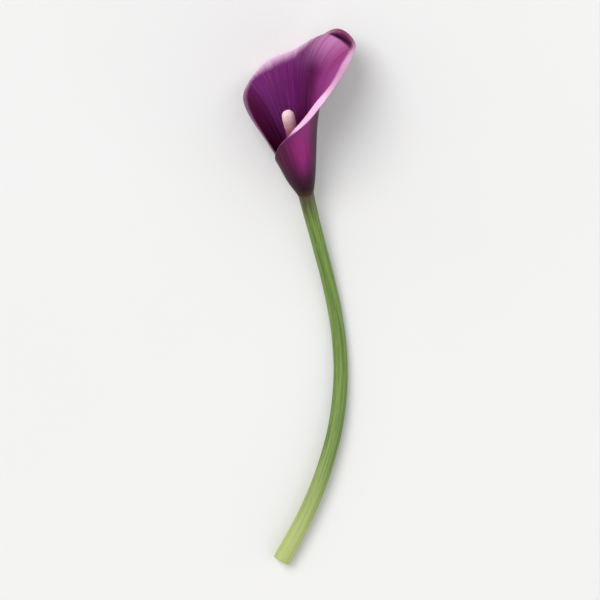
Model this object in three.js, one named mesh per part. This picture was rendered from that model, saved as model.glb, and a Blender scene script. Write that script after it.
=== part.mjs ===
// A cut arum lily flower lying on its side: a spathe wrapped into a funnel with a flared,
// rolled rim, a club-shaped spadix inside it, and a smooth stem that bends gently and ends in
// a straight cut. Millimetres and degrees, +Z up, standing on z = 0 below the box's middle.
import * as THREE from 'three';
import { ParametricGeometry } from 'three/addons/geometries/ParametricGeometry.js';

// ---- Driving dimensions ----

// The spathe's rim in the flower's own frame, whose Z is the funnel's axis, with the stem's top
// at 0 and the spathe's tip over +Y. It runs from the inner free edge, round the far side, the
// tip and the near side, to the outer free edge. Columns: turn about the axis from the tip,
// distance from the axis, height, flare of the wall, radius of the rolled lip, angle of the roll.
const RIM = [
  [-205, 7.0, 10.5, 18, 1.2, 0],
  [-188, 8.6, 17.0, 18, 1.2, 5],
  [-162, 11.0, 24.5, 19, 1.3, 20],
  [-138, 14.2, 33.0, 24, 1.4, 50],
  [-118, 19.0, 41.5, 36, 1.6, 80],
  [-98, 24.6, 47.8, 48, 1.8, 95],
  [-78, 29.2, 52.6, 57, 2.3, 108],
  [-58, 31.2, 56.2, 64, 2.8, 112],
  [-38, 32.6, 59.4, 68, 3.1, 108],
  [-20, 34.4, 64.0, 71, 3.1, 98],
  [-6, 35.4, 66.2, 75, 3.0, 80],
  [6, 36.4, 63.8, 78, 2.8, 66],
  [20, 35.6, 62.5, 75, 1.8, 86],
  [38, 29.8, 59.4, 64, 1.3, 102],
  [58, 24.8, 55.7, 54, 1.4, 110],
  [80, 20.3, 50.4, 43, 1.8, 116],
  [104, 16.9, 43.8, 33, 2.1, 119],
  [130, 14.3, 36.8, 25, 1.7, 92],
  [160, 12.0, 30.0, 20, 1.4, 45],
  [190, 10.3, 23.6, 18, 1.3, 15],
  [220, 8.4, 17.0, 18, 1.2, 0],
  [243, 6.8, 10.5, 18, 1.2, 0],
];
const WALL = 1.0; // thickness of the funnel's wall
const LIP_WALL = 0.8; // and of the rolled lip
const LIP_NOSE = 0.3; // how far the edge is rounded out, as a share of the wall
const FOOT_RADIUS = 3.5; // the wall's middle where the funnel closes on the stem
const FOOT_HEIGHT = 0.45; // just clear of the stem's shoulder
const FOOT_FLARE = 17;
const FOOT_PULL = 0.4; // how straight the wall leaves its foot and reaches its rim, as shares
const RIM_PULL = 0.3; // of the distance between them

// The two free edges meet at the foot and overlap more and more above it.
const WRAP_AT_FOOT = 356;
const WRAP_HEIGHT = 15; // the overlap is full from here up
const LAYER_STEP_AT_FOOT = 1.2; // radial step from one layer to the next
const LAYER_STEP = 2.0;
const LAYER_STEP_HEIGHT = 5;

// At the tip the rim dips behind its crest and hooks up again.
const TIP_TURN = -1;
const TIP_WIDTH = 17;
const TIP_OUT = [2.6, 5.2, 6.8];
const TIP_UP = [2.6, -5.0, 1.6];

const SPADIX_FOOT = { height: 4.3, radius: 2.0 };
const SPADIX_SWELL = [2.35, 2.75]; // how it swells between them
const SPADIX_WIDEST = { height: 39.5, radius: 3.05 };
const SPADIX_TOP = 43.6;

const NECK = { height: 4, radius: 2.05 }; // the stem's top inside the funnel's foot
const SHOULDER = { round: 0.3, radius: 3.8 };
const STEM_WAIST = 3.05; // pull towards the slimmest part, below the shoulder
const STEM_CUT = { radius: 4.25, bevel: 0.3 };
const STEM_LENGTH = 186;

// The flower as it is seen: turned about its axis, mouth raised to the viewer, leaning left.
const TURN = -55;
const RISE = 25;
const LEAN = 13;
// The stem in that view, from the funnel's foot: straight on at first, then through a bend.
const STEM_STRAIGHT = 0.32; // share of its length
const STEM_BEND = [36, -96, -13.5];
const STEM_END = [-12, -176.5, -20];
// How the view is tipped so that rim, bend and cut end all touch the ground.
const REST_PITCH = -3.56;
const REST_ROLL = -4.87;

// Fineness of the surfaces.
const WALL_STEPS = 16;
const LIP_STEPS = 6;
const STEPS_PER_RIM_ROW = 4;
const SPADIX_SIDES = 28;
const STEM_SIDES = 24;
const STEM_STEPS = 34;

// ---- Helpers ----

const { clamp, lerp, smoothstep, degToRad } = THREE.MathUtils;
const sin = (degrees) => Math.sin(degToRad(degrees));
const cos = (degrees) => Math.cos(degToRad(degrees));

// A smooth curve through three neighbouring columns of a table.
function curveThrough(rows, column) {
  const points = rows.map((row) => new THREE.Vector3(...row.slice(column, column + 3)));
  return new THREE.CatmullRomCurve3(points, false, 'catmullrom', 0.5);
}

// One coordinate of a cubic Bezier curve.
function bezier(a, b, c, d, t) {
  const u = 1 - t;
  return u * u * u * a + 3 * u * u * t * b + 3 * u * t * t * c + t * t * t * d;
}

// ---- Spathe ----

const rimPlace = curveThrough(RIM, 0);
const rimShape = curveThrough(RIM, 3);
const firstTurn = RIM[0][0];
const lastTurn = RIM[RIM.length - 1][0];
const middleTurn = (firstTurn + lastTurn) / 2;
const halfTurn = (lastTurn - firstTurn) / 2;

// Where a line up the wall stands at a height: drawn together at the foot, in place higher up.
function turnAt(turn, height) {
  const x = (turn - middleTurn) / halfTurn;
  const squeeze = 1 - WRAP_AT_FOOT / (2 * halfTurn);
  const atFoot = middleTurn + halfTurn * x * (1 - squeeze * x * x);
  return lerp(atFoot, turn, smoothstep(height, 0, WRAP_HEIGHT));
}

// The middle of the wall: s runs from free edge to free edge, v up the wall from 0 to 1 and
// over the lip from 1 to 2.
function wallPoint(s, v) {
  const { x: turn, y: rimRadius, z: rimHeight } = rimPlace.getPoint(s);
  const { x: flare, y: lipRadius, z: lipRoll } = rimShape.getPoint(s);
  const reach = Math.hypot(rimRadius - FOOT_RADIUS, rimHeight);
  const up = Math.min(v, 1);
  let radius = bezier(FOOT_RADIUS, FOOT_RADIUS + FOOT_PULL * reach * sin(FOOT_FLARE),
    rimRadius - RIM_PULL * reach * sin(flare), rimRadius, up);
  let height = bezier(FOOT_HEIGHT, FOOT_HEIGHT + FOOT_PULL * reach * cos(FOOT_FLARE),
    rimHeight - RIM_PULL * reach * cos(flare), rimHeight, up);

  const over = Math.max(v - 1, 0);
  const rolled = flare + lipRoll * over;
  const tip = Math.exp(-(((turn - TIP_TURN) / TIP_WIDTH) ** 2));
  const hookOut = bezier(0, TIP_OUT[0] * sin(flare), TIP_OUT[1], TIP_OUT[2], over);
  const hookUp = bezier(0, TIP_UP[0] * cos(flare), TIP_UP[1], TIP_UP[2], over);
  radius += lerp(lipRadius * (cos(flare) - cos(rolled)), hookOut, tip);
  height += lerp(lipRadius * (sin(rolled) - sin(flare)), hookUp, tip);

  const around = turnAt(turn, height);
  const layer = lerp(LAYER_STEP_AT_FOOT, LAYER_STEP, clamp(height / LAYER_STEP_HEIGHT, 0, 1));
  radius += (layer * (around - middleTurn)) / 360;
  return new THREE.Vector3(radius * sin(around), radius * cos(around), height);
}

// The wall's direction there, pointing out of the funnel.
function wallNormal(s, v) {
  const d = 1e-3;
  const round = wallPoint(Math.min(s + d, 1), v).sub(wallPoint(Math.max(s - d, 0), v));
  const up = wallPoint(s, Math.min(v + d, 2)).sub(wallPoint(s, Math.max(v - d, 0)));
  return up.cross(round).normalize();
}

// The stations of one closed skin: up the outside, over the edge, down the inside and back
// under the foot.
const climb = [];
for (let k = 0; k < WALL_STEPS; k += 1) climb.push(k / WALL_STEPS);
for (let k = 0; k <= LIP_STEPS; k += 1) climb.push(1 + k / LIP_STEPS);
const outside = climb.map((v) => ({ v, side: 0.5 }));
const inside = climb.map((v) => ({ v, side: -0.5 })).reverse();
const stations = [...outside, { v: 2, side: 0 }, ...inside, outside[0]];
const roundSteps = STEPS_PER_RIM_ROW * (RIM.length - 1);

function skinPoint(u, s, target) {
  const { v, side } = stations[Math.round(u * (stations.length - 1))];
  const fromEdge = clamp(Math.min(s, 1 - s) * roundSteps, 0, 1); // both free edges come to nothing
  const wall = fromEdge * lerp(WALL, LIP_WALL, clamp(v - 0.5, 0, 1));
  target.copy(wallPoint(s, v));
  if (side === 0) {
    const onward = target.clone().sub(wallPoint(s, v - 0.1));
    target.add(onward.setLength(LIP_NOSE * wall));
  } else {
    target.addScaledVector(wallNormal(s, v), side * wall);
  }
}
const spathe = new ParametricGeometry(skinPoint, stations.length - 1, roundSteps);

// ---- Spadix ----

// A club: it swells slowly towards its top and closes in a blunt round end.
const club = new THREE.Path()
  .moveTo(0, SPADIX_FOOT.height)
  .lineTo(SPADIX_FOOT.radius, SPADIX_FOOT.height)
  .bezierCurveTo(
    SPADIX_SWELL[0], lerp(SPADIX_FOOT.height, SPADIX_WIDEST.height, 0.2),
    SPADIX_SWELL[1], lerp(SPADIX_FOOT.height, SPADIX_WIDEST.height, 0.6),
    SPADIX_WIDEST.radius, SPADIX_WIDEST.height,
  )
  .bezierCurveTo(
    SPADIX_WIDEST.radius, lerp(SPADIX_WIDEST.height, SPADIX_TOP, 0.75),
    SPADIX_WIDEST.radius * 0.6, SPADIX_TOP,
    0, SPADIX_TOP,
  );
const spadix = new THREE.LatheGeometry(club.getPoints(8), SPADIX_SIDES).rotateX(Math.PI / 2);

// ---- Stem ----

// The outline of the straight stem: radius against distance down it from the shoulder.
const outline = new THREE.Path()
  .moveTo(0, -NECK.height)
  .lineTo(NECK.radius, -NECK.height)
  .lineTo(NECK.radius, 0)
  .lineTo(SHOULDER.radius - SHOULDER.round, 0)
  .lineTo(SHOULDER.radius, SHOULDER.round)
  .bezierCurveTo(
    STEM_WAIST, STEM_LENGTH * 0.1,
    STEM_WAIST, STEM_LENGTH * 0.4,
    STEM_CUT.radius, STEM_LENGTH - STEM_CUT.bevel,
  )
  .lineTo(STEM_CUT.radius - STEM_CUT.bevel, STEM_LENGTH)
  .lineTo(0, STEM_LENGTH);

const held = new THREE.Matrix4().makeRotationZ(degToRad(LEAN))
  .multiply(new THREE.Matrix4().makeRotationX(degToRad(RISE - 90)))
  .multiply(new THREE.Matrix4().makeRotationZ(degToRad(TURN)));
const axis = new THREE.Vector3(0, 0, 1).transformDirection(held);
const centreLine = new THREE.CubicBezierCurve3(
  new THREE.Vector3(),
  axis.clone().multiplyScalar(-STEM_LENGTH * STEM_STRAIGHT),
  new THREE.Vector3(...STEM_BEND),
  new THREE.Vector3(...STEM_END),
);

// Bends a lathed stem, whose Y is the distance down it, along the centre line. Its neck, above
// the line's start, stays straight.
function bend(geometry) {
  const position = geometry.getAttribute('position');
  const p = new THREE.Vector3();
  for (let i = 0; i < position.count; i += 1) {
    p.fromBufferAttribute(position, i);
    const along = clamp(p.y / STEM_LENGTH, 0, 1);
    const down = centreLine.getTangentAt(along);
    const right = new THREE.Vector3(1, 0, 0).addScaledVector(down, -down.x).normalize();
    const side = new THREE.Vector3().crossVectors(right, down);
    const centre = centreLine.getPointAt(along).addScaledVector(down, Math.min(p.y, 0));
    centre.addScaledVector(right, p.x).addScaledVector(side, p.z);
    position.setXYZ(i, centre.x, centre.y, centre.z);
  }
  return geometry;
}
const stem = bend(new THREE.LatheGeometry(outline.getPoints(STEM_STEPS), STEM_SIDES));

// ---- The flower at rest ----

const rest = new THREE.Matrix4().makeRotationY(degToRad(REST_ROLL))
  .multiply(new THREE.Matrix4().makeRotationX(degToRad(REST_PITCH)));
const lying = rest.clone().multiply(held);

const part = new THREE.Group();
part.name = 'arum_lily_flower';

function add(name, geometry, place, color, roughness) {
  geometry.applyMatrix4(place).computeVertexNormals();
  const mesh = new THREE.Mesh(geometry, new THREE.MeshStandardMaterial({ color, roughness }));
  mesh.name = name;
  part.add(mesh);
}
add('stem', stem, rest, '#6d8a36', 0.45);
add('spathe', spathe, lying, '#6a2060', 0.4);
add('spadix', spadix, lying, '#e6b3b4', 0.7);

// The ground is under the lowest point, and the origin under the box's middle.
const box = new THREE.Box3().setFromObject(part);
const centre = box.getCenter(new THREE.Vector3());
part.children.forEach((mesh) => mesh.geometry.translate(-centre.x, -centre.y, -box.min.z));

export default part;
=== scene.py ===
"""A cut arum lily flower lying on a pale floor and seen from above: a purple spathe wrapped into
a flared funnel, a pale spadix set with tiny florets, and a smooth green stem with a fresh cut."""
import math

import bpy
import numpy as np
from mathutils import Matrix, Vector, kdtree, noise


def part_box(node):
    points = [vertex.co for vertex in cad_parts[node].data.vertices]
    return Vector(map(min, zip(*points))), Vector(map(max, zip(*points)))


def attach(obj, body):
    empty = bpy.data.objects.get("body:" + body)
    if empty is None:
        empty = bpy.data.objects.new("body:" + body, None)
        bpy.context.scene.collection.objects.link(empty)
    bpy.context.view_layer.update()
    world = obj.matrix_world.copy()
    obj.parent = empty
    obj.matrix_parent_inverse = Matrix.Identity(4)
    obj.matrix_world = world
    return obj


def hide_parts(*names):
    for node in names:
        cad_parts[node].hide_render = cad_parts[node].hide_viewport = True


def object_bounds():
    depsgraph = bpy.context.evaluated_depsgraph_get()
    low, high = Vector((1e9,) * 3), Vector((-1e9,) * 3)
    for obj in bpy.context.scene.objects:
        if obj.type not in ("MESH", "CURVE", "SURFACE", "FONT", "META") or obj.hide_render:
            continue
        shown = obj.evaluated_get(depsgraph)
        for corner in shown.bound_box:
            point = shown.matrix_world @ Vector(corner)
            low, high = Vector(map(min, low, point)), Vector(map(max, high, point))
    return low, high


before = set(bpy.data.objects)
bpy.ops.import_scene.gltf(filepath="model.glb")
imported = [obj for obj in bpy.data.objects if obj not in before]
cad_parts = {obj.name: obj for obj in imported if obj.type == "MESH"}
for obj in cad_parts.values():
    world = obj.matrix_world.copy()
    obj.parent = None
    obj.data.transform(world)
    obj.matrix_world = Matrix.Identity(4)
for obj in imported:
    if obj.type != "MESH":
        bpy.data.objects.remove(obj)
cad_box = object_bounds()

MM = 0.001

# ---- The flower's own frame, in millimetres: Z up the funnel's axis, the stem's top at 0, and
# the spathe's tip over +Y ----

# The spathe's rim from the inner free edge, round the far side, the tip and the near side, to
# the outer free edge. Columns: turn about the axis from the tip, distance from the axis,
# height, flare of the wall, radius of the rolled lip, angle of the roll.
RIM = np.array([
    [-205, 7.0, 10.5, 18, 1.2, 0],
    [-188, 8.6, 17.0, 18, 1.2, 5],
    [-162, 11.0, 24.5, 19, 1.3, 20],
    [-138, 14.2, 33.0, 24, 1.4, 50],
    [-118, 19.0, 41.5, 36, 1.6, 80],
    [-98, 24.6, 47.8, 48, 1.8, 95],
    [-78, 29.2, 52.6, 57, 2.3, 108],
    [-58, 31.2, 56.2, 64, 2.8, 112],
    [-38, 32.6, 59.4, 68, 3.1, 108],
    [-20, 34.4, 64.0, 71, 3.1, 98],
    [-6, 35.4, 66.2, 75, 3.0, 80],
    [6, 36.4, 63.8, 78, 2.8, 66],
    [20, 35.6, 62.5, 75, 1.8, 86],
    [38, 29.8, 59.4, 64, 1.3, 102],
    [58, 24.8, 55.7, 54, 1.4, 110],
    [80, 20.3, 50.4, 43, 1.8, 116],
    [104, 16.9, 43.8, 33, 2.1, 119],
    [130, 14.3, 36.8, 25, 1.7, 92],
    [160, 12.0, 30.0, 20, 1.4, 45],
    [190, 10.3, 23.6, 18, 1.3, 15],
    [220, 8.4, 17.0, 18, 1.2, 0],
    [243, 6.8, 10.5, 18, 1.2, 0],
], float)
FIRST_TURN, LAST_TURN = RIM[0, 0], RIM[-1, 0]
MIDDLE_TURN = (FIRST_TURN + LAST_TURN) / 2
HALF_TURN = (LAST_TURN - FIRST_TURN) / 2
FOOT_RADIUS, FOOT_FLARE = 3.5, 17
FOOT_HEIGHT = -0.4  # the wall grows out of the stem's shoulder
FOOT_PULL, RIM_PULL = 0.4, 0.3  # how straight the wall leaves its foot and reaches its rim
WRAP_AT_FOOT, WRAP_HEIGHT = 359.4, 15  # the free edges meet at the foot and overlap above it
LAYER_STEP_AT_FOOT, LAYER_STEP, LAYER_STEP_HEIGHT = 0.5, 2.0, 11
TIP_TURN, TIP_WIDTH = -1, 17
TIP_OUT, TIP_UP = (2.6, 5.2, 6.8), (2.6, -5.0, 1.6)  # the rim dips behind its crest and hooks up
WALL, LIP_WALL, FOOT_WALL = 1.0, 0.75, 0.62  # thickness in the funnel, at the lip and the foot
FOOT_THINS = 9  # the wall thins below this height
EDGE_STEPS = (0.55, 0.34, 0.18, 0.07, 0.0)  # the last rows' distances from the edge
EDGE_ROUND, EDGE_COLUMNS = 0.4, 5  # the wall rounds off this near its edge and its free ends
EDGE_THINNEST = 0.1  # share of the wall that is left at the very edge
LIP_THINS_FROM = 0.4  # as a share of the way up the wall
COLUMNS, ROWS, PATH_STEPS = 470, 84, 320

# How far the pale margin reaches in from the edge, on either side of the wall: turn, distance.
PALE_INSIDE = np.array([
    [-205, 0.8], [-130, 1.0], [-110, 1.3], [-95, 1.7], [-78, 2.9], [-62, 5.0], [-34, 6.4],
    [-18, 4.4], [-8, 1.5], [8, 1.2], [18, 1.6], [36, 2.5], [60, 3.4], [78, 4.0], [104, 4.2],
    [120, 2.8], [136, 0.6], [243, 0.3],
], float)
PALE_OUTSIDE = np.array([
    [-205, 0.8], [-120, 1.5], [-60, 2.2], [90, 2.2], [112, 0.8], [124, 0.3], [243, 0.3],
], float)

# Relief of the spathe's wall: steps and widths in degrees round it, depths and lengths in
# millimetres. It grows over a distance up from the foot, and ends over one from the edge.
SWELL, SWELL_STEP, SWELL_LENGTH, SWELL_GROWS = 0.35, 34, 26, 25
VEIN_DEPTH, VEIN_STEP, VEIN_WANDER = 0.035, 5.0, 1.5
VEINS_GROW, VEINS_END = 45, 4
KEEL, KEEL_WIDTH = 0.3, 3.5  # the fold that runs up the back to the tip
KEEL_FROM, KEEL_GROWS, KEEL_ENDS = 15, 40, 3
RUFFLE, RUFFLE_STEP, RUFFLE_DRIFT = 0.5, 47, 9  # waves of the rim
RUFFLE_FROM, RUFFLE_GROWS = 0.55, 0.8  # as shares of the way up the wall
RUFFLE_TURN, RUFFLE_REACH, RUFFLE_FADES = 10, 140, 40
CALM, CALM_TURN, CALM_WIDTH = 0.8, 90, 45  # the near side waves less

SPADIX_FOOT_RADIUS, SPADIX_FOOT = 2.0, 4.3
SPADIX_SWELL, SPADIX_RADIUS, SPADIX_WIDEST = (2.35, 2.75), 3.05, 39.5
SPADIX_SWELLS_AT = (0.2, 0.6)  # as shares of the way from the foot to the widest place
SPADIX_TOP = 43.6
SPADIX_UPRIGHT, SPADIX_BLUNT = 0.75, 0.6  # how far its sides stay upright and its top is flat
SPADIX_TIP_RADIUS = 0.12
FLORET, LOW_FLORET = 0.8, 1.25  # spacing of the florets, above and at the club's foot
FLORET_PACKING = 0.9  # what a floret takes of the square of its spacing
FIRST_FLORET, LAST_FLORET = 0.5, 0.05  # distances from the foot and from the top
LOW_FLORETS_END = 14
FLORET_HEIGHT, FLORET_REACH, FLORET_ROUNDNESS = 0.2, 0.62, 0.8
FLORET_SEED = 7
PISTIL_HEIGHT, PISTIL_WIDTH = 0.16, 0.16  # on the low florets

NECK_TOP, NECK_RADIUS, NECK_FOOT = 4.0, 2.05, 0.4
NECK_ROUND, NECK_TAPER = 0.3, 0.8
SHOULDER_RADIUS, SHOULDER_ROUND = 3.85, 0.3
STEM_WAIST, CUT_RADIUS, CUT_BEVEL = 3.05, 4.25, 0.3
STEM_LENGTH = 186
STEM_WAIST_AT = (0.1, 0.4)  # where it narrows, as shares of its length
CUT_SKIN, CUT_SINK, CUT_RINGS, CUT_RING = 0.25, 0.16, 9, 0.36  # the pith shrinks inside its skin
RIDGES, RIDGE_DEPTH, RIDGE_WANDER, RIDGES_GROW = 17, 0.045, 2.5, 12
STEM_SWELL, STEM_SWELL_LENGTH = 0.12, 14
BUNDLES, BUNDLE_SPACING = 70, 0.42  # ends of the sap bundles in the cut
BUNDLE_WIDTH, BUNDLE_HEIGHT = 0.13, 0.09
PITH_GRAIN, PITH_CROWN, PITH_CROWN_RADIUS = 0.05, 0.1, 2.5
GOLDEN_ANGLE = math.pi * (3 - math.sqrt(5))  # from one floret or bundle to the next

# How the flower lies: turned about its axis, mouth raised, leaning left, and the whole view
# tipped so that rim, bend and cut end touch the floor.
TURN, RISE, LEAN = -55, 25, 13
STEM_STRAIGHT = 0.32
STEM_BEND, STEM_END = Vector((36, -96, -13.5)), Vector((-12, -176.5, -20))
REST_PITCH, REST_ROLL = -3.56, -4.87

# ---- The room, in metres ----

VIEW_HEIGHT = 0.285  # what the camera sees from top to bottom
LENS, SENSOR = 400, 36
FLOOR_RADIUS, FLOOR_CURVE, FLOOR_BAND = 3.6, 1.2, 0.3
KEY_FROM, KEY_STRENGTH, KEY_SPREAD = (-0.5, 0.45, 1.0), 1.7, 35
FILL_FROM, FILL_STRENGTH, FILL_SPREAD = (0.7, -0.4, 0.8), 0.45, 70
ROOM_COLOR, ROOM_STRENGTH = (0.97, 0.98, 1.0, 1), 0.55

# Depths of the fine relief that the finishes add, and how deep light soaks in.
PETAL_RELIEF, SPADIX_RELIEF, STEM_RELIEF, FLOOR_RELIEF = 0.0001, 0.00005, 0.00015, 0.0001
GLOW_DEPTH = 0.001


def turned(degrees, axis):
    return Matrix.Rotation(math.radians(degrees), 4, axis)


REST = turned(REST_ROLL, "Y") @ turned(REST_PITCH, "X")
HELD = turned(LEAN, "Z") @ turned(RISE - 90, "X") @ turned(TURN, "Z")


# ---- Curves and outlines ----

def between(a, b, t):
    return a + (b - a) * t


def bezier(a, b, c, d, t):
    u = 1 - t
    return u ** 3 * a + 3 * u * u * t * b + 3 * u * t * t * c + t ** 3 * d


def smooth(x):
    x = np.clip(x, 0, 1)
    return x * x * (3 - 2 * x)


def bell(x, middle, width):
    return np.exp(-((x - middle) / width) ** 2)


def through_rows(rows, s):
    """Smooth values between the rows of a table, for s from 0 at the first to 1 at the last."""
    last = len(rows) - 1
    place = np.asarray(s, float) * last
    i = np.clip(np.floor(place).astype(int), 0, last - 1)
    t = (place - i)[..., None]
    beyond = np.vstack([2 * rows[0] - rows[1], rows, 2 * rows[-1] - rows[-2]])
    before, here, there, after = (beyond[i + k] for k in range(4))
    leave, arrive = (there - before) / 2, (after - here) / 2
    cubic = 2 * here - 2 * there + leave + arrive
    square = 3 * there - 3 * here - 2 * leave - arrive
    return ((cubic * t + square) * t + leave) * t + here


def wall_middle(s, v):
    """The middle of the spathe's wall: s runs from free edge to free edge, v up the wall from 0
    to 1 and over the lip from 1 to 2. Returns the points and their turn."""
    rim = np.moveaxis(through_rows(RIM, s), -1, 0)
    turn, rim_radius, rim_height, flare, lip_radius, lip_roll = rim
    flare, lip_roll, foot_flare = np.radians(flare), np.radians(lip_roll), math.radians(FOOT_FLARE)
    reach = np.hypot(rim_radius - FOOT_RADIUS, rim_height)
    up, over = np.clip(v, 0, 1), np.clip(v - 1, 0, 1)
    radius = bezier(FOOT_RADIUS, FOOT_RADIUS + FOOT_PULL * reach * np.sin(foot_flare),
                    rim_radius - RIM_PULL * reach * np.sin(flare), rim_radius, up)
    height = bezier(FOOT_HEIGHT, FOOT_HEIGHT + FOOT_PULL * reach * np.cos(foot_flare),
                    rim_height - RIM_PULL * reach * np.cos(flare), rim_height, up)

    rolled = flare + lip_roll * over
    tip = bell(turn, TIP_TURN, TIP_WIDTH)
    hook_out = bezier(0, TIP_OUT[0] * np.sin(flare), TIP_OUT[1], TIP_OUT[2], over)
    hook_up = bezier(0, TIP_UP[0] * np.cos(flare), TIP_UP[1], TIP_UP[2], over)
    radius = radius + between(lip_radius * (np.cos(flare) - np.cos(rolled)), hook_out, tip)
    height = height + between(lip_radius * (np.sin(rolled) - np.sin(flare)), hook_up, tip)

    x = (turn - MIDDLE_TURN) / HALF_TURN
    squeeze = 1 - WRAP_AT_FOOT / (2 * HALF_TURN)
    at_foot = MIDDLE_TURN + HALF_TURN * x * (1 - squeeze * x * x)
    around = between(at_foot, turn, smooth(height / WRAP_HEIGHT))
    layer = between(LAYER_STEP_AT_FOOT, LAYER_STEP, smooth(height / LAYER_STEP_HEIGHT))
    radius = radius + layer * (around - MIDDLE_TURN) / 360
    angle = np.radians(around)
    return np.stack([radius * np.sin(angle), radius * np.cos(angle), height], -1), turn


def club_outline(steps):
    """Radius and height up the spadix: it swells slowly and closes in a blunt round top."""
    t = np.linspace(0, 1, steps)
    low, widest, top = SPADIX_FOOT, SPADIX_WIDEST, SPADIX_TOP
    r = SPADIX_RADIUS
    swells = (between(low, widest, share) for share in SPADIX_SWELLS_AT)
    rising = zip(bezier(SPADIX_FOOT_RADIUS, *SPADIX_SWELL, r, t), bezier(low, *swells, widest, t))
    upright = between(widest, top, SPADIX_UPRIGHT)
    closing = zip(bezier(r, r, r * SPADIX_BLUNT, 0, t), bezier(widest, upright, top, top, t))
    return list(rising) + list(closing)[1:]


def flower_place():
    """Where the flower's frame lies: the club's box sits where its node's does."""
    lying = np.array((REST @ HELD).to_3x3())
    angle = np.radians(np.arange(0, 360, 3))
    ring = np.stack([np.cos(angle), np.sin(angle)], -1)
    points = [(*(r * xy), z) for r, z in club_outline(24) for xy in ring]
    seen = np.array(points) @ lying.T
    low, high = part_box("spadix")
    shift = (low + high) / 2 / MM - Vector((seen.min(0) + seen.max(0)) / 2)
    return Matrix.Translation(shift) @ REST


STEM_PLACE = flower_place()
FLOWER_PLACE = STEM_PLACE @ HELD


# ---- Modelling by hand ----

def start(name):
    """The primitive that was just added, under its own name, in edit mode and all selected."""
    piece = bpy.context.object
    piece.name = piece.data.name = name
    bpy.ops.object.mode_set(mode="EDIT")
    bpy.ops.mesh.select_all(action="SELECT")
    return piece


def apply_modifier(piece, kind, **settings):
    modifier = piece.modifiers.new(kind.lower(), kind)
    for key, value in settings.items():
        setattr(modifier, key, value)
    bpy.ops.object.modifier_apply(modifier=modifier.name)


def tidy_skin(piece):
    """Merges what coincides, in millimetres, and turns the faces outwards."""
    bpy.context.view_layer.objects.active = piece
    bpy.ops.object.mode_set(mode="EDIT")
    bpy.ops.mesh.select_all(action="SELECT")
    bpy.ops.mesh.remove_doubles(threshold=0.002)
    bpy.ops.mesh.normals_make_consistent(inside=False)
    bpy.ops.object.mode_set(mode="OBJECT")


def get_points(piece):
    flat = np.empty(len(piece.data.vertices) * 3)
    piece.data.vertices.foreach_get("co", flat)
    return flat.reshape(-1, 3)


def set_points(piece, points):
    piece.data.vertices.foreach_set("co", np.asarray(points, float).ravel())
    piece.data.update()


def get_normals(piece):
    flat = np.empty(len(piece.data.vertices) * 3)
    piece.data.vertex_normals.foreach_get("vector", flat)
    return flat.reshape(-1, 3)


def keep_values(piece, name, values):
    """Stores one number or one vector for each vertex, for the materials to read."""
    values = np.asarray(values, float)
    kind, field = ("FLOAT", "value") if values.ndim == 1 else ("FLOAT_VECTOR", "vector")
    layer = piece.data.attributes.new(name, kind, "POINT")
    layer.data.foreach_set(field, values.ravel())


def lay_down(piece, place):
    """Puts a piece modelled in millimetres in the flower's frame where it lies, in metres. What
    touches the floor flattens a little."""
    piece.data.transform(Matrix.Scale(MM, 4) @ place)
    points = get_points(piece)
    points[:, 2] = np.maximum(points[:, 2], 0)
    set_points(piece, points)
    bpy.ops.object.shade_smooth()


def hand_over(piece, node):
    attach(piece, "root")
    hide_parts(node)


def turned_body(name, sides, stations):
    """A round body, drawn out of a disc and narrowed or widened ring by ring."""
    bpy.ops.object.select_all(action="DESELECT")
    (radius, height), *rest = stations
    bpy.ops.mesh.primitive_circle_add(vertices=sides, radius=radius, fill_type="NGON",
                                      location=(0, 0, height))
    bpy.ops.object.transform_apply(location=True)
    piece = start(name)
    for next_radius, next_height in rest:
        bpy.ops.mesh.extrude_region_move(
            TRANSFORM_OT_translate={"value": (0, 0, next_height - height)})
        widen = next_radius / radius
        bpy.ops.transform.resize(value=(widen, widen, 1), center_override=(0, 0, next_height))
        radius, height = next_radius, next_height
    bpy.ops.object.mode_set(mode="OBJECT")
    return piece


def rough(points, size, seed):
    """Soft noise from -1 to 1 at each point, with swells of about this size. Each seed reads it
    in another place."""
    shift = Vector((seed * 17.3, seed * 5.1, seed * 9.7))
    return np.array([noise.noise(Vector(p) / size + shift) for p in points])


# ---- Spathe ----

def row_heights(s):
    """Each row's v in each column: even steps up the wall, then ever finer ones to the edge.
    Returns v, the distance up from the foot and the distance left to the edge."""
    fine = np.linspace(0, 2, PATH_STEPS + 1)
    path, _ = wall_middle(s[:, None], fine[None, :])
    steps = np.linalg.norm(np.diff(path, axis=1), axis=-1)
    along = np.concatenate([np.zeros((len(s), 1)), np.cumsum(steps, axis=1)], axis=1)
    even = np.linspace(0, 1, ROWS - len(EDGE_STEPS) + 2)[:-1]
    v, up = [], []
    for column in along:
        whole = column[-1]
        distances = np.concatenate([even * (whole - EDGE_STEPS[0]), whole - np.array(EDGE_STEPS)])
        up.append(distances)
        v.append(np.interp(distances, column, fine))
    up = np.array(up)
    return np.array(v), up, up[:, -1:] - up


def outward(points):
    """Unit normals of a sheet of points, pointing out of the funnel."""
    round_ways, up_ways = np.gradient(points, axis=(0, 1))
    normals = np.cross(up_ways, round_ways)
    return normals / np.maximum(np.linalg.norm(normals, axis=-1, keepdims=True), 1e-9)


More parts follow.
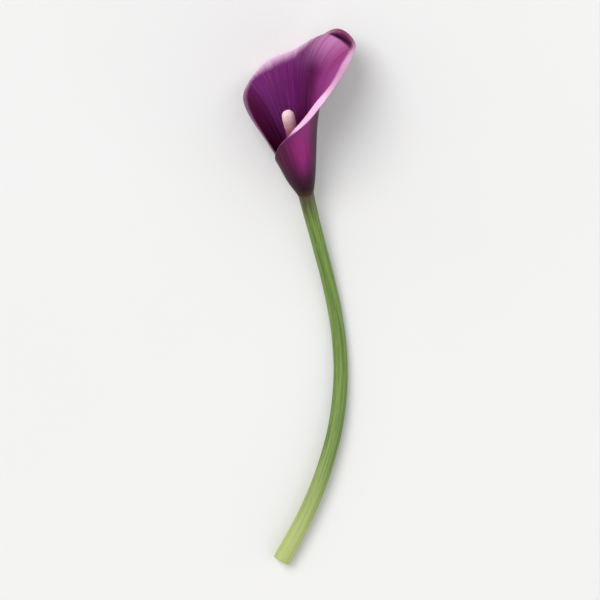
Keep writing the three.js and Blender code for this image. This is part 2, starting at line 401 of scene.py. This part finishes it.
def wall_relief(turn, v, up, edge):
    """How far the wall stands out of its smooth shape, in millimetres."""
    flat = np.stack([turn / SWELL_STEP, up / SWELL_LENGTH, np.zeros_like(turn)], -1).reshape(-1, 3)
    swell = rough(flat, 1.0, seed=1).reshape(turn.shape) * SWELL * smooth(up / SWELL_GROWS)
    drift = rough(flat, 0.5, seed=2).reshape(turn.shape)
    veins = np.cos(2 * np.pi * turn / VEIN_STEP + VEIN_WANDER * drift) * VEIN_DEPTH
    veins *= smooth(up / VEINS_GROW) * smooth(edge / VEINS_END)
    keel = KEEL * bell(turn, TIP_TURN, KEEL_WIDTH)
    keel *= smooth((up - KEEL_FROM) / KEEL_GROWS) * smooth(edge / KEEL_ENDS)
    near_rim = smooth((v - RUFFLE_FROM) / RUFFLE_GROWS)
    near_rim *= smooth((RUFFLE_REACH - np.abs(turn - RUFFLE_TURN)) / RUFFLE_FADES)
    ruffle = RUFFLE * np.sin(2 * np.pi * (turn + RUFFLE_DRIFT * drift) / RUFFLE_STEP) * near_rim
    calm = 1 - CALM * bell(turn, CALM_TURN, CALM_WIDTH)
    return swell + veins + keel + ruffle * calm


def model_spathe():
    bpy.ops.object.select_all(action="DESELECT")
    bpy.ops.mesh.primitive_grid_add(x_subdivisions=COLUMNS, y_subdivisions=ROWS, size=2)
    piece = start("wrapped_spathe")
    bpy.ops.object.mode_set(mode="OBJECT")
    piece.data.materials.append(inside_finish())
    piece.data.materials.append(outside_finish())

    # Each vertex of the flat grid finds its column and row, and moves to its place in the wall.
    grid = get_points(piece)
    column = np.rint((grid[:, 0] + 1) / 2 * COLUMNS).astype(int)
    row = np.rint((grid[:, 1] + 1) / 2 * ROWS).astype(int)
    s = np.linspace(0, 1, COLUMNS + 1)
    v, up, edge = row_heights(s)
    middle, turn = wall_middle(s[:, None], v)
    turn = np.broadcast_to(turn, v.shape)
    middle = middle + outward(middle) * wall_relief(turn, v, up, edge)[..., None]
    set_points(piece, middle[column, row])

    count = np.arange(COLUMNS + 1)
    free_end = np.minimum(count, COLUMNS - count) / EDGE_COLUMNS
    inward = np.clip(np.minimum(np.minimum(edge, up) / EDGE_ROUND, free_end[:, None]), 0, 1)
    rounding = np.sqrt(np.clip(1 - (1 - inward) ** 2, EDGE_THINNEST ** 2, 1))
    wall = between(WALL, LIP_WALL, np.clip(v - LIP_THINS_FROM, 0, 1))
    wall = between(FOOT_WALL, wall, smooth(up / FOOT_THINS)) * rounding
    layers = {
        "turn": turn, "rise": v, "up": up, "edge": edge,
        "pale_inside": edge / np.interp(turn, *PALE_INSIDE.T),
        "pale_outside": edge / np.interp(turn, *PALE_OUTSIDE.T),
    }
    for name, values in layers.items():
        keep_values(piece, name, values[column, row])
    thickness = piece.vertex_groups.new(name="thickness")
    for index, share in enumerate(wall[column, row] / WALL):
        thickness.add([index], share, "REPLACE")

    apply_modifier(piece, "SOLIDIFY", thickness=WALL, offset=0, use_rim=True,
                   vertex_group="thickness", material_offset=1, material_offset_rim=0)
    piece.vertex_groups.clear()
    lay_down(piece, FLOWER_PLACE)
    return piece


# ---- Spadix ----

def floret_places():
    """Centres of the florets in a spiral up the club, closer together above its foot."""
    outline = np.array(club_outline(60))
    rise = 0.1  # the outline's slope is taken over this height
    least_radius = 0.25
    height, angle = SPADIX_FOOT + FIRST_FLORET, 0.0
    places = []
    while height < SPADIX_TOP - LAST_FLORET:
        radius = np.interp(height, outline[:, 1], outline[:, 0])
        step = np.interp(height + rise, outline[:, 1], outline[:, 0]) - radius
        spacing = LOW_FLORET if height < LOW_FLORETS_END else FLORET
        places.append((radius * math.cos(angle), radius * math.sin(angle), height))
        slope = math.hypot(rise, step) / rise
        girth = 2 * math.pi * max(radius, least_radius)
        height += spacing ** 2 * FLORET_PACKING / (girth * slope)
        angle += GOLDEN_ANGLE
    return places + [(0.0, 0.0, SPADIX_TOP)]


def model_spadix():
    piece = turned_body("club_spadix", 20, [(SPADIX_FOOT_RADIUS, SPADIX_FOOT - 0.6)]
                        + [(max(r, SPADIX_TIP_RADIUS), z) for r, z in club_outline(24)])
    apply_modifier(piece, "SUBSURF", levels=3, render_levels=3)
    tidy_skin(piece)
    points, normals = get_points(piece), get_normals(piece)
    places = floret_places()
    tree = kdtree.KDTree(len(places))
    for index, place in enumerate(places):
        tree.insert(place, index)
    tree.balance()
    found = [tree.find(Vector(p)) for p in points]
    away = np.array([distance for _, _, distance in found])
    own = np.random.default_rng(FLORET_SEED).random(len(places))[[index for _, index, _ in found]]
    low = points[:, 2] < LOW_FLORETS_END
    spacing = np.where(low, LOW_FLORET, FLORET)
    dome = np.clip(1 - (away / (FLORET_REACH * spacing)) ** 2, 0, 1)
    pistil = np.where(low, bell(away, 0, PISTIL_WIDTH), 0)
    rise = dome ** FLORET_ROUNDNESS * (0.75 + 0.5 * own) - 0.5
    lift = FLORET_HEIGHT * rise * spacing / FLORET + PISTIL_HEIGHT * pistil
    piece.data.materials.append(spadix_finish())
    keep_values(piece, "dome", dome)
    keep_values(piece, "own", own)
    keep_values(piece, "club", points)
    set_points(piece, points + normals * lift[:, None])
    lay_down(piece, FLOWER_PLACE)
    return piece


# ---- Stem ----

def stem_stations():
    """Radius and height of each ring, from the neck's top down to the cut and over its face. Close
    rings keep the shoulder and the cut crisp when the surface is smoothed."""
    t = np.linspace(0, 1, 26)[1:]
    radii = bezier(SHOULDER_RADIUS, STEM_WAIST, STEM_WAIST, CUT_RADIUS, t)
    waists = (STEM_LENGTH * share for share in STEM_WAIST_AT)
    downs = bezier(SHOULDER_ROUND, *waists, STEM_LENGTH - CUT_BEVEL, t)
    face, cut = CUT_RADIUS - CUT_BEVEL, -STEM_LENGTH
    pith = face - CUT_SKIN
    return [
        (NECK_RADIUS * NECK_TAPER, NECK_TOP),
        (NECK_RADIUS, NECK_TOP - NECK_ROUND),
        (NECK_RADIUS, NECK_FOOT),
        (SHOULDER_RADIUS - SHOULDER_ROUND, 0.02),
        (SHOULDER_RADIUS, -SHOULDER_ROUND),
        *((r, -d) for r, d in zip(radii, downs)),
        (face + 0.08, cut + 0.06),
        (face, cut),
        (pith, cut + 0.03),
        *((pith - CUT_RING * k, cut + CUT_SINK) for k in range(1, CUT_RINGS + 1)),
        (0.2, cut + CUT_SINK),
    ]


def centre_line():
    """The stem's centre line as a curve, from the shoulder to the cut."""
    axis = (HELD.to_3x3() @ Vector((0, 0, 1))).normalized()
    beyond = 10  # length of the handles past both ends
    data = bpy.data.curves.new("centre_line", "CURVE")
    data.dimensions = "3D"
    data.resolution_u = 64
    spline = data.splines.new("BEZIER")
    spline.bezier_points.add(1)
    top, end = spline.bezier_points
    top.co, top.handle_left = (0, 0, 0), axis * beyond
    top.handle_right = -axis * STEM_LENGTH * STEM_STRAIGHT
    end.co, end.handle_left = STEM_END, STEM_BEND
    end.handle_right = STEM_END + (STEM_END - STEM_BEND).normalized() * beyond
    line = bpy.data.objects.new("centre_line", data)
    bpy.context.scene.collection.objects.link(line)
    return line


def model_stem():
    piece = turned_body("cut_stem", 24, stem_stations())
    apply_modifier(piece, "SUBSURF", levels=2, render_levels=2)
    tidy_skin(piece)
    points = get_points(piece)
    angle = np.arctan2(points[:, 1], points[:, 0])
    down, radius = -points[:, 2], np.hypot(points[:, 0], points[:, 1])

    # The skin's ridges and swells, which spare the neck and the cut.
    skin = smooth((radius - NECK_RADIUS - 0.6) / 0.8) * smooth((STEM_LENGTH - 0.4 - down) / 1.5)
    wander = rough(points * [1, 1, 0.06], 2.5, seed=3)
    ridges = RIDGE_DEPTH * np.cos(RIDGES * angle + RIDGE_WANDER * wander)
    ridges *= smooth(down / RIDGES_GROW)
    swells = STEM_SWELL * rough(points, STEM_SWELL_LENGTH, seed=4)
    radial = np.stack([np.cos(angle), np.sin(angle), np.zeros_like(angle)], -1)
    shaped = points + radial * (skin * (ridges + swells))[:, None]

    # The cut face: ends of the sap bundles stand up a little out of the soft pith.
    face = smooth((down - STEM_LENGTH + 0.6) / 0.3) * (radius < CUT_RADIUS - CUT_BEVEL - 0.2)
    bundle = np.zeros(len(points))
    for k in range(BUNDLES):
        out, turn = BUNDLE_SPACING * math.sqrt(k + 0.5), k * GOLDEN_ANGLE
        gap = np.hypot(points[:, 0] - out * math.cos(turn), points[:, 1] - out * math.sin(turn))
        bundle = np.maximum(bundle, bell(gap, 0, BUNDLE_WIDTH))
    pith = PITH_GRAIN * rough(points, 0.5, seed=5)
    pith += PITH_CROWN * smooth(1 - radius / PITH_CROWN_RADIUS)
    shaped[:, 2] -= face * (BUNDLE_HEIGHT * bundle + pith)

    piece.data.materials.append(stem_finish())
    keep_values(piece, "straight", points)
    keep_values(piece, "face", face)
    keep_values(piece, "bundle", face * bundle)
    set_points(piece, shaped)
    line = centre_line()
    apply_modifier(piece, "CURVE", object=line, deform_axis="NEG_Z")
    bpy.data.objects.remove(line)
    lay_down(piece, STEM_PLACE)
    return piece


# ---- Finishes ----

class Value:
    """A number that varies over a surface; arithmetic on it adds Math nodes."""

    def __init__(self, finish, socket):
        self.finish = finish
        self.socket = socket

    def math(self, operation, *values):
        return self.finish.node("ShaderNodeMath", {"operation": operation}, dict(enumerate(values)))

    def __add__(self, other):
        return self.math("ADD", self, other)

    __radd__ = __add__

    def __sub__(self, other):
        return self.math("SUBTRACT", self, other)

    def __rsub__(self, other):
        return self.math("SUBTRACT", other, self)

    def __mul__(self, other):
        return self.math("MULTIPLY", self, other)

    __rmul__ = __mul__

    def __truediv__(self, other):
        return self.math("DIVIDE", self, other)


class Finish:
    """A material under construction."""

    def __init__(self, name):
        self.material = bpy.data.materials.new(name)
        self.material.use_nodes = True
        self.material.node_tree.nodes.clear()

    def node(self, kind, settings=(), inputs=(), output=0):
        """Adds a node, with its settings first, and returns one of its outputs."""
        node = self.material.node_tree.nodes.new(kind)
        for key, value in dict(settings).items():
            setattr(node, key, value)
        for key, value in dict(inputs).items():
            if isinstance(value, Value):
                self.material.node_tree.links.new(value.socket, node.inputs[key])
            else:
                node.inputs[key].default_value = value
        return Value(self, node.outputs[output]) if node.outputs else None

    def attribute(self, name, output="Fac"):
        return self.node("ShaderNodeAttribute", {"attribute_name": name}, output=output)

    def ramp(self, value, start, end):
        """Goes softly from 0 where the value is at start to 1 at end, whichever is higher."""
        return self.node("ShaderNodeMapRange", {"interpolation_type": "SMOOTHSTEP"},
                         {0: value, 1: start, 2: end})

    def bell(self, value, middle, width):
        """1 at the middle, falling away softly on both sides."""
        x = (value - middle) / width
        return x.math("EXPONENT", x * x * -1)

    def vector(self, x, y):
        return self.node("ShaderNodeCombineXYZ", inputs={0: x, 1: y})

    def stretch(self, vector, x, y, z):
        return self.node("ShaderNodeVectorMath", {"operation": "MULTIPLY"},
                         {0: vector, 1: (x, y, z)})

    def noise(self, vector, scale, detail=3.0):
        return self.node("ShaderNodeTexNoise", {"noise_dimensions": "3D"},
                         {"Vector": vector, "Scale": scale, "Detail": detail, "Roughness": 0.55})

    def mix(self, a, b, share):
        """Goes from one colour to another."""
        return self.node("ShaderNodeMix", {"data_type": "RGBA", "clamp_factor": True},
                         {0: share, 6: a, 7: b}, output=2)

    def bump(self, height, depth):
        return self.node("ShaderNodeBump",
                         inputs={"Height": height, "Strength": 1.0, "Distance": depth})

    def surface(self, color, roughness, normal, **constants):
        """Closes the material with a Principled BSDF."""
        inputs = {"Base Color": color, "Roughness": roughness, "Normal": normal}
        inputs.update({key.replace("_", " "): value for key, value in constants.items()})
        shader = self.node("ShaderNodeBsdfPrincipled", inputs=inputs)
        self.node("ShaderNodeOutputMaterial", inputs={"Surface": shader})
        return self.material


def paint(red, green, blue):
    """A colour given as it is seen, in 0 to 255."""
    def linear(c):
        c /= 255
        return c / 12.92 if c <= 0.04045 else ((c + 0.055) / 1.055) ** 2.4
    return (linear(red), linear(green), linear(blue), 1.0)


# The spathe's inside.
WINE, INDIGO, VIOLET = paint(72, 11, 46), paint(94, 19, 90), paint(116, 48, 126)
ORCHID, HEATHER, MAGENTA = paint(158, 56, 138), paint(124, 44, 116), paint(154, 44, 114)
# Painted light at the tip: a pale pink painted highlight on the crest, and a near black painted
# shadow in the hollow behind it.
CREST_HIGHLIGHT, BESIDE_CREST, HOLLOW_SHADOW = paint(206, 134, 186), paint(152, 72, 142), paint(44, 0, 18)
# Painted shade for deep down in the throat, where little light reaches.
THROAT_SHADE = paint(46, 2, 15)
INSIDE_DARK_VEIN, INSIDE_LIGHT_VEIN = paint(56, 8, 52), paint(160, 80, 150)

# The spathe's outside.
DARK_PLUM, PLUM, WRAPPED_RED = paint(54, 16, 40), paint(86, 28, 72), paint(72, 14, 34)
# The magenta below is partly the outside's own colour and partly a painted highlight on the lit
# front of the tube.
LIT_FRONT_MAGENTA = paint(152, 42, 120)
FOOT_BROWN, FOOT_OLIVE = paint(36, 17, 16), paint(66, 52, 32)
OUTSIDE_DARK_VEIN, OUTSIDE_LIGHT_VEIN = paint(46, 12, 32), paint(150, 76, 130)

# The spathe's pale margin, from the wrapped edge round to the near lip, and its sheen.
WRAPPED_MARGIN, FAR_MARGIN = paint(134, 94, 124), paint(238, 192, 226)
TIP_MARGIN, NEAR_MARGIN = paint(144, 74, 104), paint(214, 156, 190)
# The lip's pinks are the margin's own pale colour lightened by a painted highlight, where the
# rolled lip faces the light.
LIT_LIP_PINK, LIT_LIP_PALE = paint(232, 168, 220), paint(252, 210, 240)
OUTER_MARGIN, OUTER_NEAR_MARGIN = paint(176, 118, 156), paint(226, 170, 206)
PETAL_SHEEN = paint(235, 150, 225)

# The spadix.
# The lower rose is partly the spadix's own pink and partly painted shade. The floret light is a
# painted highlight.
ROSE_AND_SHADE, CREAM_PINK, FLORET_HIGHLIGHT = paint(154, 66, 82), paint(255, 214, 222), paint(255, 234, 224)
# Painted shade for the seams between the florets.
SEAM_SHADE = paint(140, 48, 62)

# The stem and its cut.
DEEP_GREEN, GREEN, THREAD_GREEN = paint(84, 112, 42), paint(116, 146, 62), paint(168, 190, 112)
FLECK_GREEN, PALE_GREEN, PLUM_FLUSH = paint(66, 92, 36), paint(196, 206, 128), paint(68, 50, 36)
PITH, PALE_PITH, BUNDLE_GREEN = paint(222, 226, 178), paint(238, 238, 206), paint(150, 164, 92)

FLOOR_GREY, FLOOR_PALE = paint(232, 231, 229), paint(237, 236, 235)


def wall_streaks(f, turn, up):
    """Streaks along the veins: broad washes, soft streaks and single veins, each about 0.5."""
    broad = f.noise(f.vector(turn * 0.045, up * 0.02), 1.0, 2.0)
    soft = f.noise(f.vector(turn * 0.22, up * 0.018), 1.0, 2.0)
    veins = f.noise(f.vector(turn * 0.8, up * 0.02), 1.0, 1.0)
    return broad, soft, veins


def draw_veins(f, color, streak, dark, dark_share, light, light_share):
    """Darkens the wall along some streaks and lightens it along others."""
    color = f.mix(color, dark, f.ramp(streak, 0.95, 0.7) * dark_share)
    return f.mix(color, light, f.ramp(streak, 1.05, 1.35) * light_share)


def petal_surface(f, color, roughness, gloss, up, veins, soft):
    """Closes either side of the spathe: fine ribs along the veins, calmer where they draw
    together, a velvety grain, a pink sheen and a little light that soaks in."""
    grain = f.noise(f.node("ShaderNodeTexCoord", output="Object"), 4200.0, 2.0)
    ribs = (veins * 0.8 + soft * 0.6) * f.ramp(up, 6, 62)
    return f.surface(color, roughness, f.bump(ribs + grain * 0.16, PETAL_RELIEF),
                     Specular_IOR_Level=gloss, Specular_Tint=PETAL_SHEEN,
                     Subsurface_Weight=0.1, Subsurface_Scale=GLOW_DEPTH,
                     Subsurface_Radius=(1.0, 0.3, 0.7))


def margin_paint(f, turn, broad, soft):
    """The pale margin: mauve at the wrapped edge, rosy on the far side, dusky round the tip and
    nearly white on the near lip, where its own pale pink carries a painted highlight as the rolled
    lip faces the light."""
    margin = f.mix(WRAPPED_MARGIN, FAR_MARGIN, f.ramp(turn, -104, -66))
    margin = f.mix(margin, TIP_MARGIN, f.bell(turn, 2, 19))
    margin = f.mix(margin, NEAR_MARGIN, f.ramp(turn, 20, 44))
    # Painted highlight on the near lip, mixed into its own pale pink.
    lip = f.mix(LIT_LIP_PINK, LIT_LIP_PALE, 0.3 * soft + 0.9 * broad)
    return f.mix(margin, lip, f.ramp(turn, 46, 78))


def inside_finish():
    """Painted shade makes it nearly black in the throat. Deep wine to the left, indigo in the
    middle, lighter towards the tip, with a pale margin, a painted highlight on the crest of the tip
    and a painted shadow in the hollow behind it."""
    f = Finish("spathe_inside")
    turn, rise, up = (f.attribute(name) for name in ("turn", "rise", "up"))
    pale = f.attribute("pale_inside")
    broad, soft, veins = wall_streaks(f, turn, up)
    color = f.mix(WINE, INDIGO, f.bell(turn, -45, 38) * f.ramp(rise, 0.3, 0.6))
    color = f.mix(color, VIOLET, f.bell(turn + broad * 30, -62, 9) * 0.4)
    color = f.mix(color, ORCHID, f.ramp(turn + broad * 40, 8, 54))
    upper = f.ramp(rise + soft * 0.3, 0.86, 1.2)
    color = f.mix(color, HEATHER, upper * f.ramp(turn, -110, -60) * 0.6)
    right = f.bell(turn, 24, 16) * f.ramp(rise, 0.7, 0.95) * f.ramp(rise, 1.5, 1.2)
    color = f.mix(color, MAGENTA, right)
    # Painted highlight on the crest of the tip, where the surface turns up into the light.
    crest = f.bell(turn, -2, 15) * f.ramp(rise, 0.7, 1.02) * f.ramp(rise, 1.34, 1.12)
    color = f.mix(color, CREST_HIGHLIGHT, crest * (0.55 + 0.6 * soft))
    color = f.mix(color, BESIDE_CREST, f.bell(turn, 38, 12) * f.ramp(rise, 0.75, 1.0) * 0.6)
    # Painted shade: the deeper into the throat, the closer the colour goes to nearly black.
    depth = up + broad * 10 + f.ramp(turn, -10, 50) * 14
    color = f.mix(color, THROAT_SHADE, f.ramp(depth, 49, 22))
    color = draw_veins(f, color, veins + soft, INSIDE_DARK_VEIN, 0.3, INSIDE_LIGHT_VEIN, 0.3)
    # Painted shadow in the hollow behind the tip's crest.
    color = f.mix(color, HOLLOW_SHADOW, f.bell(turn, 1, 18) * f.bell(rise, 1.62, 0.27))
    near_edge = f.ramp(pale + soft * 0.6, 2.2, 0.8) * f.ramp(turn, 136, 114)
    color = f.mix(color, margin_paint(f, turn, broad, soft), near_edge * 0.94)
    return petal_surface(f, color, 0.42 + 0.14 * soft, 0.2, up, veins, soft)


def outside_finish():
    """Olive and brown at the foot, dark plum above it, magenta up the near side of the tube that is
    partly its own colour and partly a painted highlight where light falls on the tube's front, and
    a pale margin that matches the inside's at the very edge."""
    f = Finish("spathe_outside")
    turn, up, edge = (f.attribute(name) for name in ("turn", "up", "edge"))
    pale = f.attribute("pale_outside")
    broad, soft, veins = wall_streaks(f, turn, up)
    color = f.mix(DARK_PLUM, PLUM, f.ramp(up + broad * 16, 30, 70))
    color = f.mix(color, WRAPPED_RED, f.bell(turn, 176, 26) * f.ramp(up, 10, 24) * 0.8)
    # Partly the outside's own magenta, partly a painted highlight down the front of the tube where
    # light falls on it.
    lit_front = f.bell(turn + broad * 14, 118, 30) * f.ramp(up + broad * 12, 12, 34)
    color = f.mix(color, LIT_FRONT_MAGENTA, lit_front)
    color = draw_veins(f, color, veins + soft, OUTSIDE_DARK_VEIN, 0.35, OUTSIDE_LIGHT_VEIN, 0.25)
    color = f.mix(FOOT_BROWN, color, f.ramp(up + soft * 7, 4, 20))
    color = f.mix(FOOT_OLIVE, color, f.ramp(up + soft * 6, 3, 8))
    near_edge = f.ramp(pale + soft * 0.5, 1.3, 0.7) * f.ramp(turn, 130, 108)
    margin = f.mix(OUTER_MARGIN, OUTER_NEAR_MARGIN, f.ramp(turn, 30, 70))
    color = f.mix(color, margin, near_edge * 0.85)
    at_edge = f.ramp(edge, 0.9, 0.2) * f.ramp(turn, 136, 114)
    color = f.mix(color, margin_paint(f, turn, broad, soft), at_edge * 0.94)
    return petal_surface(f, color, 0.4 + 0.14 * soft, 0.18, up, veins, soft)


def spadix_finish():
    """Rosy florets, darker low down with painted shade, cream pink towards the top, each with a
    painted highlight a little stronger or weaker on its top, and painted shade in the seams between
    them."""
    f = Finish("spadix")
    dome, own, club = f.attribute("dome"), f.attribute("own"), f.attribute("club", "Vector")
    height = f.node("ShaderNodeSeparateXYZ", inputs={0: club}, output=2)
    patch = f.noise(club, 0.6)
    # Low down the club is darker rose, partly its own pink and partly painted shade from the spathe
    # round it.
    pale = f.ramp(height + patch * 4, 34, 46)
    color = f.mix(ROSE_AND_SHADE, CREAM_PINK, pale)
    # Painted highlight on the top of each floret's dome, stronger towards the pale top of the club.
    floret_highlight = f.ramp(dome, 0.5, 1.0) * (0.2 + 0.5 * own)
    color = f.mix(color, FLORET_HIGHLIGHT, floret_highlight * (0.2 + 0.8 * pale))
    # Painted shade in the seams between the florets.
    color = f.mix(SEAM_SHADE, color, f.ramp(dome, 0.0, 0.45))
    grain = f.noise(club, 9.0)
    return f.surface(color, 0.5 + 0.2 * grain, f.bump(grain, SPADIX_RELIEF),
                     Specular_IOR_Level=0.3,
                     Subsurface_Weight=0.2, Subsurface_Scale=GLOW_DEPTH,
                     Subsurface_Radius=(1.0, 0.5, 0.4))


def stem_finish():
    """Streaked green, flushed with plum below the spathe and paler near the cut."""
    f = Finish("stem")
    straight = f.attribute("straight", "Vector")
    face, bundle = f.attribute("face"), f.attribute("bundle")
    down = f.node("ShaderNodeSeparateXYZ", inputs={0: straight}, output=2) * -1
    streak = f.noise(f.stretch(straight, 1.0, 1.0, 0.025), 1.1)
    thread = f.noise(f.stretch(straight, 1.0, 1.0, 0.03), 4.0)
    fleck = f.noise(f.stretch(straight, 1.0, 1.0, 0.45), 2.6, 2.0)
    color = f.mix(DEEP_GREEN, GREEN, f.ramp(streak, 0.35, 0.65))
    color = f.mix(color, THREAD_GREEN, f.ramp(thread, 0.55, 0.75) * 0.5)
    color = f.mix(color, FLECK_GREEN, f.ramp(fleck, 0.6, 0.72) * 0.4)
    color = f.mix(color, PALE_GREEN, f.ramp(down + streak * 30, 130, 200) * 0.7)
    color = f.mix(PLUM_FLUSH, color, f.ramp(down + streak * 18, 5, 30))
    cut = f.mix(PITH, PALE_PITH, f.noise(straight, 1.5))
    cut = f.mix(cut, BUNDLE_GREEN, bundle * 0.8)
    color = f.mix(color, cut, face)
    relief = thread * 0.7 + streak * 0.5
    return f.surface(color, 0.36 + 0.16 * thread, f.bump(relief, STEM_RELIEF),
                     Specular_IOR_Level=0.45,
                     Subsurface_Weight=0.1, Subsurface_Scale=GLOW_DEPTH,
                     Subsurface_Radius=(0.6, 1.0, 0.3))


# ---- The flower ----

hand_over(model_stem(), "stem")
hand_over(model_spathe(), "spathe")
hand_over(model_spadix(), "spadix")


# ---- Floor, light and camera ----

def make_floor():
    """A wide pale floor that curves up at its edge, so that no horizon shows behind the flower."""
    bpy.ops.object.select_all(action="DESELECT")
    radius, height = FLOOR_RADIUS - FLOOR_BAND, 0.0
    bpy.ops.mesh.primitive_circle_add(vertices=96, radius=radius, fill_type="NGON")
    floor = start("floor")
    bpy.ops.mesh.region_to_loop()
    for angle in np.radians(np.linspace(0, 90, 16)):
        next_radius = FLOOR_RADIUS + FLOOR_CURVE * math.sin(angle)
        next_height = FLOOR_CURVE * (1 - math.cos(angle))
        bpy.ops.mesh.extrude_edges_move(
            TRANSFORM_OT_translate={"value": (0, 0, next_height - height)})
        widen = next_radius / radius
        bpy.ops.transform.resize(value=(widen, widen, 1), center_override=(0, 0, next_height))
        radius, height = next_radius, next_height
    bpy.ops.object.mode_set(mode="OBJECT")
    bpy.ops.object.shade_smooth()
    f = Finish("pale_floor")
    place = f.node("ShaderNodeTexCoord", output="Object")
    cloud = f.noise(place, 6.0)
    color = f.mix(FLOOR_GREY, FLOOR_PALE, cloud)
    floor.data.materials.append(f.surface(color, 0.8 + 0.1 * cloud, f.bump(cloud, FLOOR_RELIEF),
                                          Specular_IOR_Level=0.2))


def make_sun(name, direction, strength, spread):
    """A soft light from this direction, as wide as a big diffuser: its spread is in degrees."""
    data = bpy.data.lights.new(name, "SUN")
    data.energy, data.angle = strength, math.radians(spread)
    light = bpy.data.objects.new(name, data)
    bpy.context.scene.collection.objects.link(light)
    light.rotation_euler = Vector(direction).to_track_quat("Z", "Y").to_euler()


def make_air():
    """Even pale light from all round."""
    air = bpy.data.worlds.new("pale_room")
    air.use_nodes = True
    background = air.node_tree.nodes["Background"]
    background.inputs["Color"].default_value = ROOM_COLOR
    background.inputs["Strength"].default_value = ROOM_STRENGTH
    bpy.context.scene.world = air


def make_camera():
    """Looks down on the lying flower, along the view that was tipped with it."""
    data = bpy.data.cameras.new("camera")
    data.lens, data.sensor_width = LENS, SENSOR
    camera = bpy.data.objects.new("camera", data)
    bpy.context.scene.collection.objects.link(camera)
    middle = (cad_box[0] + cad_box[1]) / 2
    back = REST.to_3x3() @ Vector((0, 0, VIEW_HEIGHT * LENS / SENSOR))
    camera.matrix_world = Matrix.Translation(middle + back) @ REST
    bpy.context.scene.camera = camera


make_floor()
make_camera()
make_sun("key", KEY_FROM, KEY_STRENGTH, KEY_SPREAD)
make_sun("fill", FILL_FROM, FILL_STRENGTH, FILL_SPREAD)
make_air()
bpy.context.scene.view_settings.view_transform = "Standard"
